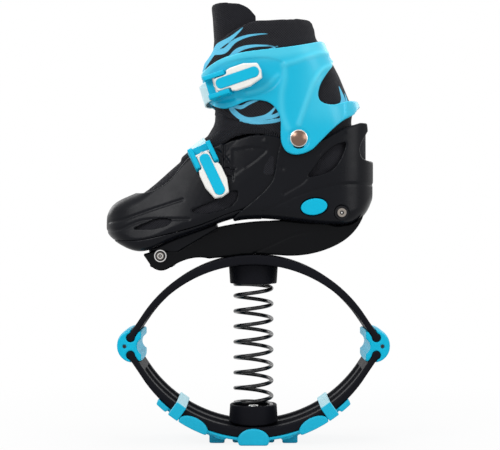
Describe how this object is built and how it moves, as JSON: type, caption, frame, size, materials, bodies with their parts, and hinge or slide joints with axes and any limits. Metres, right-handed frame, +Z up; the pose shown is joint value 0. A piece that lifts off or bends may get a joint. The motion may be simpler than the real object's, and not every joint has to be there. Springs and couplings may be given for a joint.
{
  "type": "jumping shoe",
  "caption": "Spring-loaded jumping shoe: a buckled boot with a hinged cuff on a chassis carried by leaf arches, hinge blocks and a coil spring, over a lugged rubber sole.",
  "frame": {"origin": "middle of the sole at ground level, on the axis of the coil spring", "axes": "+Z up, -X towards the toe, -Y to the outer side of the foot, where the buckle levers are"},
  "size_m": [0.2802, 0.1078, 0.4318],
  "materials": {
    "boot_plastic": "satin",
    "chassis_plastic": "satin",
    "arch_plastic": "satin",
    "blue_plastic": "gloss",
    "clip_plastic": "gloss",
    "cuff_plastic": "plain gloss",
    "white_plastic": "gloss",
    "strap_plastic": "satin, slightly milky",
    "sole_rubber": "matt",
    "black_spring": "gloss black coating",
    "steel": "zinc plated",
    "dark_steel": "dark oxide",
    "nickel": "polished nickel",
    "liner_fabric": "woven black over foam",
    "collar_fabric": "black weave with a flame print on the front wings"
  },
  "bodies": {
    "root": {"lower_arch": "arch_plastic", "lower_cup": "arch_plastic", "lower_cup_screw": "steel", "sole_pad": "sole_rubber", "front_clip": "clip_plastic", "rear_clip": "clip_plastic", "coil_spring": "black_spring"},
    "front_block": {"front_hinge_block": "blue_plastic", "front_block_screws": "dark_steel"},
    "rear_block": {"rear_hinge_block": "blue_plastic", "rear_block_screws": "dark_steel"},
    "boot": {"upper_arch": "arch_plastic", "upper_cup": "arch_plastic", "upper_cup_screw": "steel", "frame": "chassis_plastic", "toe_rest": "boot_plastic", "front_bolt": "steel", "front_bolt_nut": "steel", "rear_bolt": "steel", "rear_bolt_nut": "steel", "rear_shell": "boot_plastic", "heel_base": "chassis_plastic", "liner_foot": "liner_fabric", "tongue_lower": "liner_fabric", "cuff_rivets": "nickel", "size_button_spring": "steel"},
    "front": {"front_shell": "boot_plastic", "front_sole": "boot_plastic", "insole": "liner_fabric", "size_rack": "chassis_plastic", "toe_buckle_base": "blue_plastic", "toe_buckle_pin": "steel", "toe_strap": "strap_plastic", "toe_strap_screw": "steel"},
    "toe_lever": {"toe_lever": "white_plastic", "toe_lever_inlay": "blue_plastic"},
    "cuff": {"cuff": "cuff_plastic", "liner_collar": "collar_fabric", "tongue_upper": "liner_fabric", "top_buckle_base": "blue_plastic", "top_buckle_pin": "steel", "top_strap": "strap_plastic", "top_strap_screw": "steel"},
    "top_lever": {"top_lever": "white_plastic", "top_lever_inlay": "blue_plastic"},
    "size_button": {"size_button": "blue_plastic"}
  },
  "joints": [
    {"name": "bounce", "type": "slide", "parent": "root", "child": "boot", "axis": [0, 0, -1], "range_m": [0, 0.045], "stiffness_N_per_m": 16000, "springref_m": -0.0015, "deforming": ["coil_spring", "lower_arch", "upper_arch"]},
    {"name": "front_block_drop", "type": "slide", "parent": "root", "child": "front_block", "axis": [0, 0, -1], "range_m": [0, 0.0225]},
    {"name": "rear_block_drop", "type": "slide", "parent": "root", "child": "rear_block", "axis": [0, 0, -1], "range_m": [0, 0.0225]},
    {"name": "cuff_rock", "type": "hinge", "parent": "boot", "child": "cuff", "pos_m": [0.04395, 0, 0.29857], "axis": [0, -1, 0], "range_deg": [-4, 8]},
    {"name": "size_slide", "type": "slide", "parent": "boot", "child": "front", "axis": [-1, 0, 0], "range_m": [0, 0.018], "deforming": ["liner_foot", "tongue_lower"]},
    {"name": "top_buckle", "type": "hinge", "parent": "cuff", "child": "top_lever", "pos_m": [-0.03661, -0.04643, 0.34917], "axis": [0.2918, -0.062, -0.9545], "range_deg": [0, 100]},
    {"name": "toe_buckle", "type": "hinge", "parent": "front", "child": "toe_lever", "pos_m": [-0.04961, -0.03889, 0.28341], "axis": [-0.9064, -0.0878, -0.4131], "range_deg": [0, 100]},
    {"name": "size_button_press", "type": "slide", "parent": "boot", "child": "size_button", "axis": [0, 1, 0], "range_m": [0, 0.0024], "stiffness_N_per_m": 800, "springref_m": -0.0008, "deforming": ["size_button_spring"]}
  ],
  "couplings": [
    {"joint": "front_block_drop", "follows": "bounce", "ratio": 0.5},
    {"joint": "rear_block_drop", "follows": "bounce", "ratio": 0.5}
  ]
}
